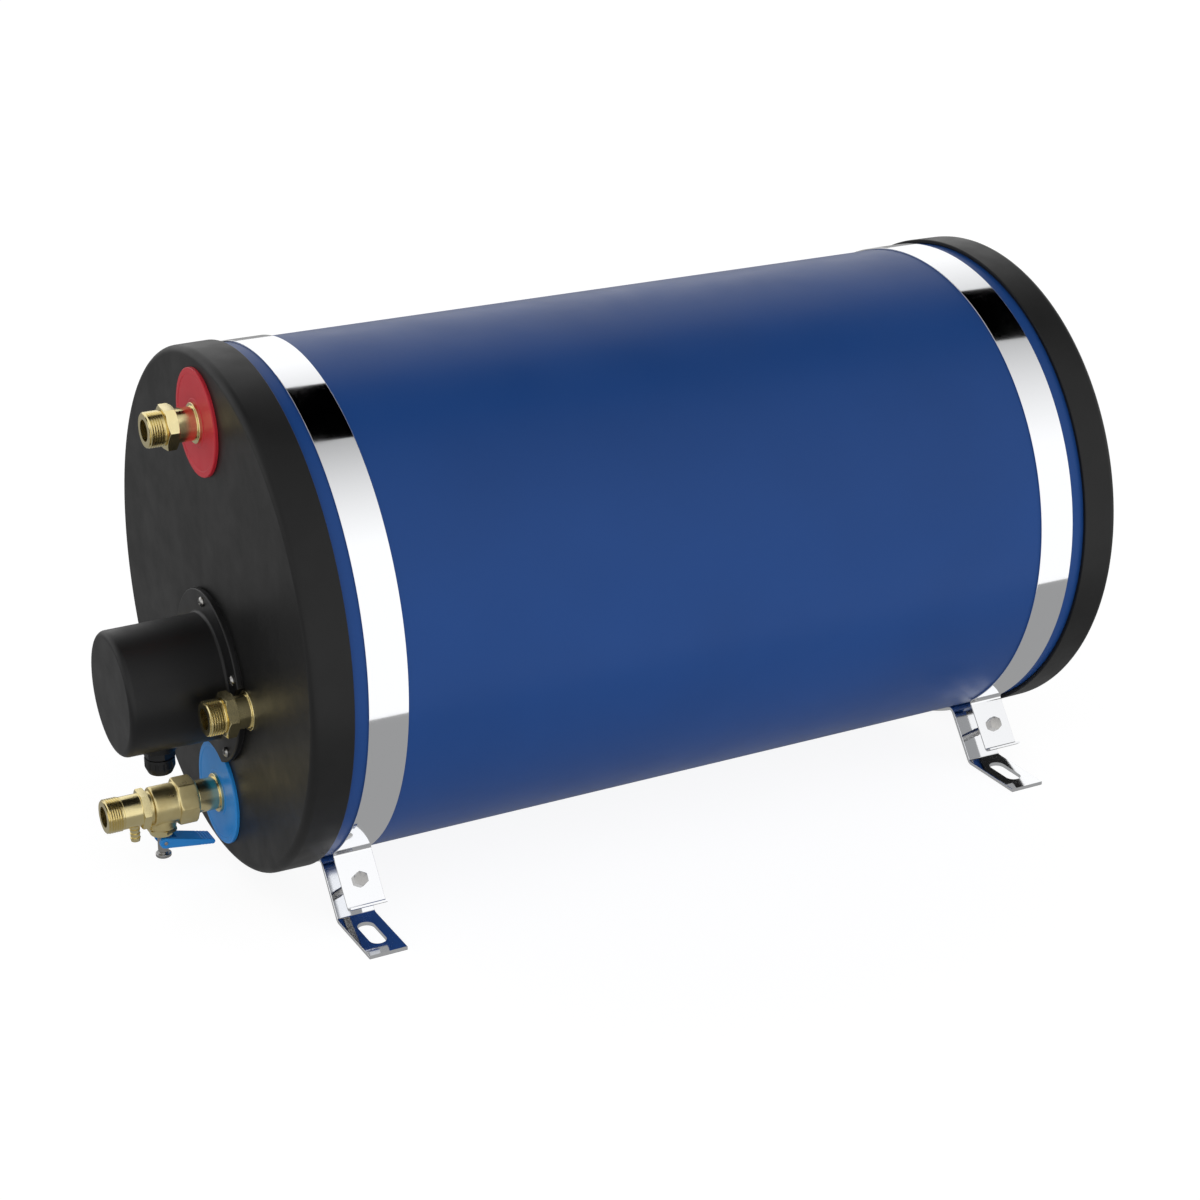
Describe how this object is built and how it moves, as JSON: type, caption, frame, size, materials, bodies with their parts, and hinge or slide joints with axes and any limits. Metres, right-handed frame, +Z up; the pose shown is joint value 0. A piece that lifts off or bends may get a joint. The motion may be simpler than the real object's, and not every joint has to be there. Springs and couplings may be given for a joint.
{
  "type": "marine water heater",
  "caption": "Horizontal insulated marine water heater: painted cylindrical tank with black end caps, clamp straps on saddle feet, brass pipe connections, heater cover and safety valve.",
  "frame": {"origin": "on the floor under the feet, in the middle of the four mounting slots", "axes": "+Y along the tank from the connection end to the plain end, +Z up, +X to the right side seen from the connection end"},
  "size_m": [0.395, 0.774, 0.4095],
  "materials": {
    "jacket": "satin powder coat",
    "cap": "fine textured moulding",
    "strap": "polished stainless",
    "fastener": "plain stainless",
    "hot_plastic": "moulded",
    "cold_plastic": "moulded",
    "brass": "machined",
    "cover": "moulded",
    "gasket": "matt",
    "gland": "moulded"
  },
  "bodies": {
    "tank": {"casing": "jacket", "front_cap": "cap", "rear_cap": "cap", "front_strap": "strap", "rear_strap": "strap", "front_saddle": "strap", "rear_saddle": "strap", "front_right_bolt": "fastener", "front_left_bolt": "fastener", "rear_right_bolt": "fastener", "rear_left_bolt": "fastener", "front_right_nut": "fastener", "front_left_nut": "fastener", "rear_right_nut": "fastener", "rear_left_nut": "fastener", "hot_disc": "hot_plastic", "cold_disc": "cold_plastic", "hot_connection": "brass", "cold_connection": "brass", "coil_inlet": "brass", "coil_outlet": "brass", "cover_gasket": "gasket", "heater_cover": "cover", "cover_screw_1": "fastener", "cover_screw_2": "fastener", "cover_screw_3": "fastener", "cover_screw_4": "fastener", "cover_screw_5": "fastener", "gland_body": "gland", "gland_nut": "gland", "valve_body": "brass", "valve_tail": "brass", "valve_bonnet": "brass", "valve_stem": "fastener", "valve_drain": "brass", "lever_pin": "fastener"},
    "lever": {"valve_lever": "cold_plastic"}
  },
  "joints": [
    {"name": "lever_pivot", "type": "hinge", "parent": "tank", "child": "lever", "pos_m": [0, -0.389, 0.03575], "axis": [-1, 0, 0], "range_deg": [0, 30], "stiffness_Nm_per_rad": 1.2, "springref_deg": -11.46}
  ]
}
